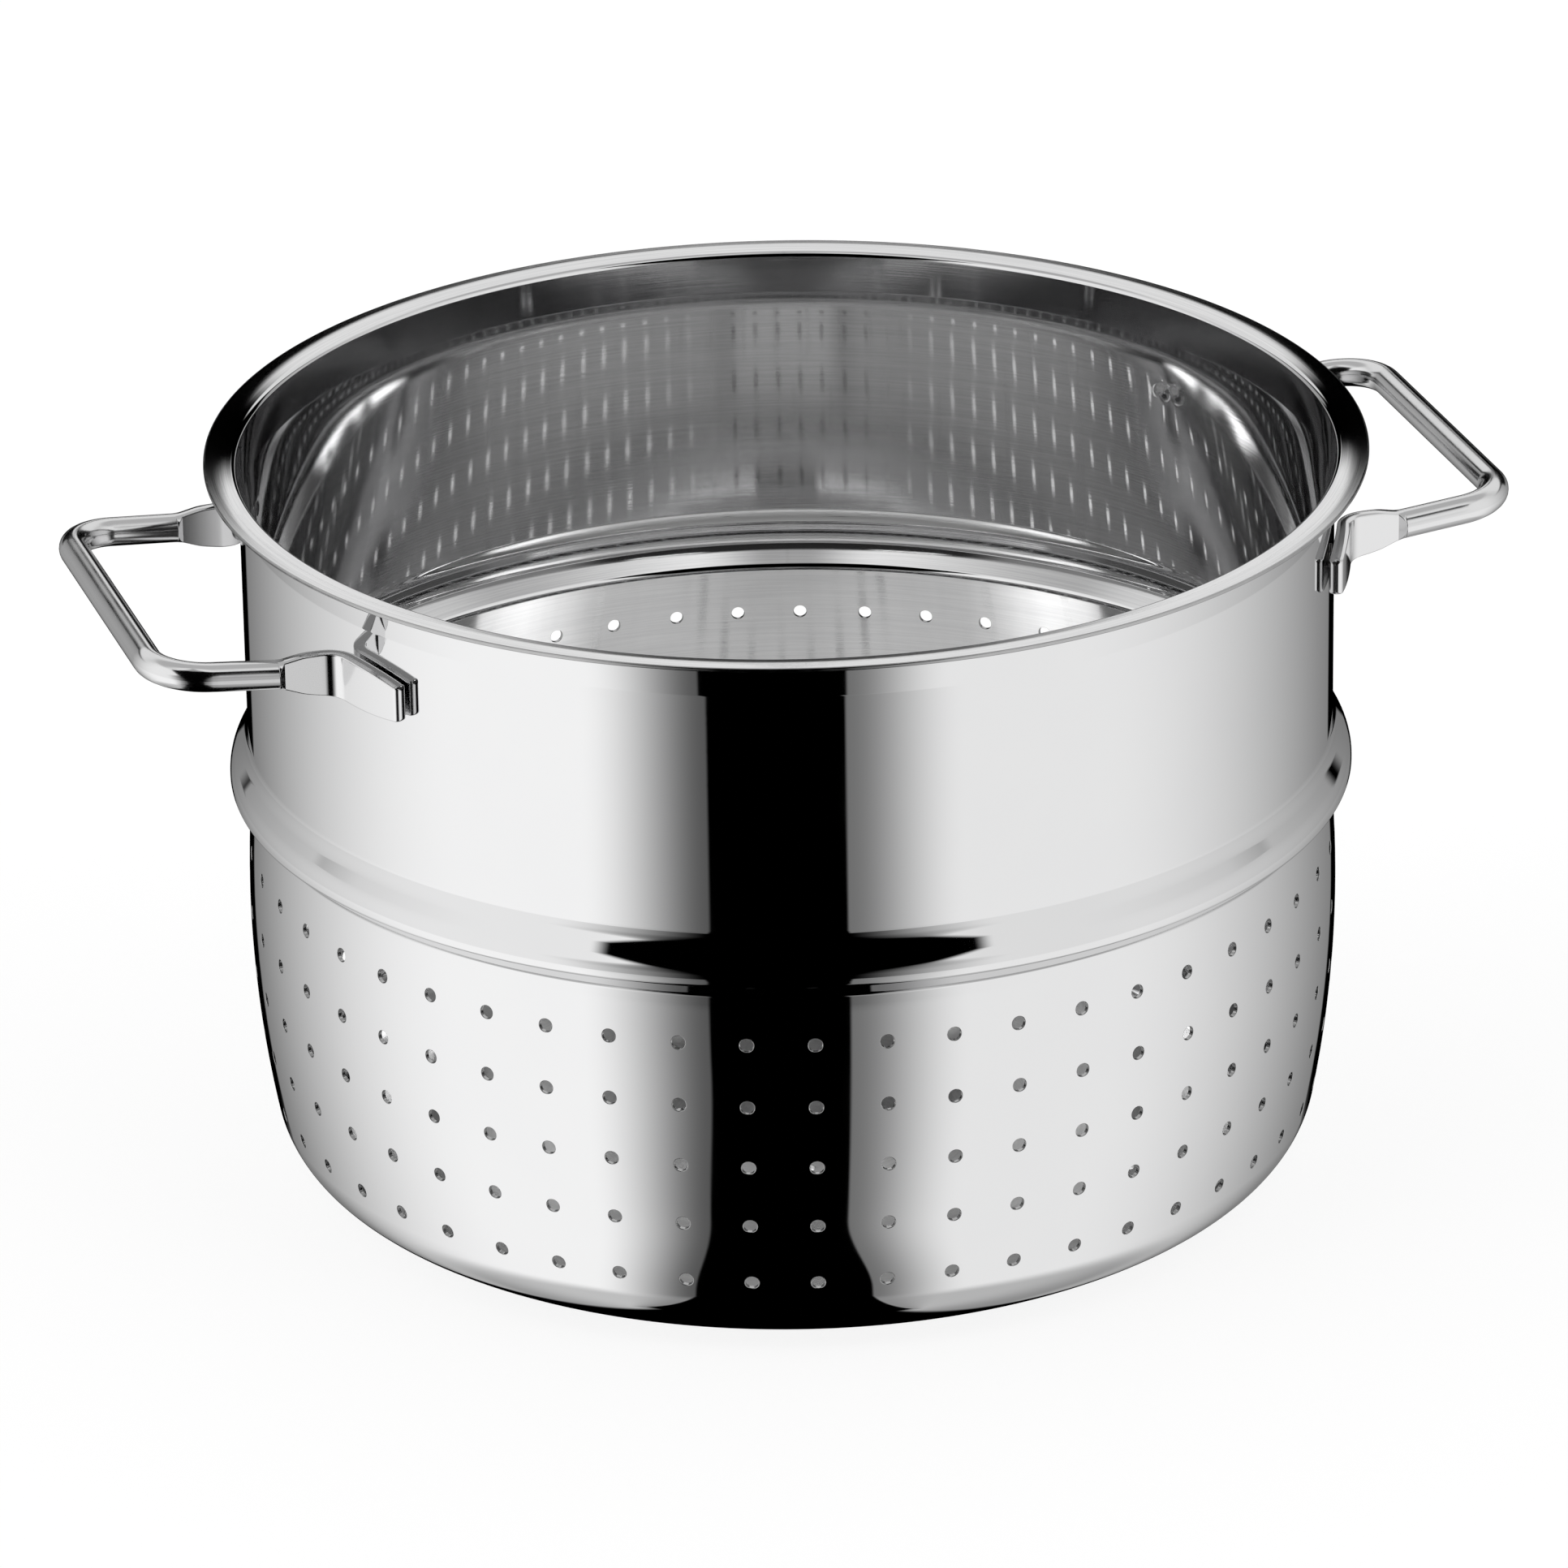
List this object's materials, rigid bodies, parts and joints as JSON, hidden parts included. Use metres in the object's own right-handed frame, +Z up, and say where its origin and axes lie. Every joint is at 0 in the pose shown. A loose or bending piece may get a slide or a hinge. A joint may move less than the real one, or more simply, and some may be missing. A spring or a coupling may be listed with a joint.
{
  "type": "steam juicer basket",
  "caption": "Perforated polished steel basket of a steam juicer, with a pouring rim, a seating bead round the middle and two welded rod handles.",
  "frame": {"origin": "centre of the underside of the base, at the bottom of the bounding box", "axes": "+Z up along the basket's axis, +X through the middle of the right handle, Y across the handles"},
  "size_m": [0.3328, 0.2719, 0.1754],
  "materials": {
    "sheet_steel": "mirror polished outside, satin brushed inside",
    "rod_steel": "polished",
    "weld_steel": "dull"
  },
  "bodies": {
    "root": {"basket_shell": "sheet_steel", "handle_right": "rod_steel", "handle_left": "rod_steel", "weld_right_a1": "weld_steel", "weld_right_a2": "weld_steel", "weld_right_b1": "weld_steel", "weld_right_b2": "weld_steel", "weld_left_a1": "weld_steel", "weld_left_a2": "weld_steel", "weld_left_b1": "weld_steel", "weld_left_b2": "weld_steel"}
  },
  "joints": []
}
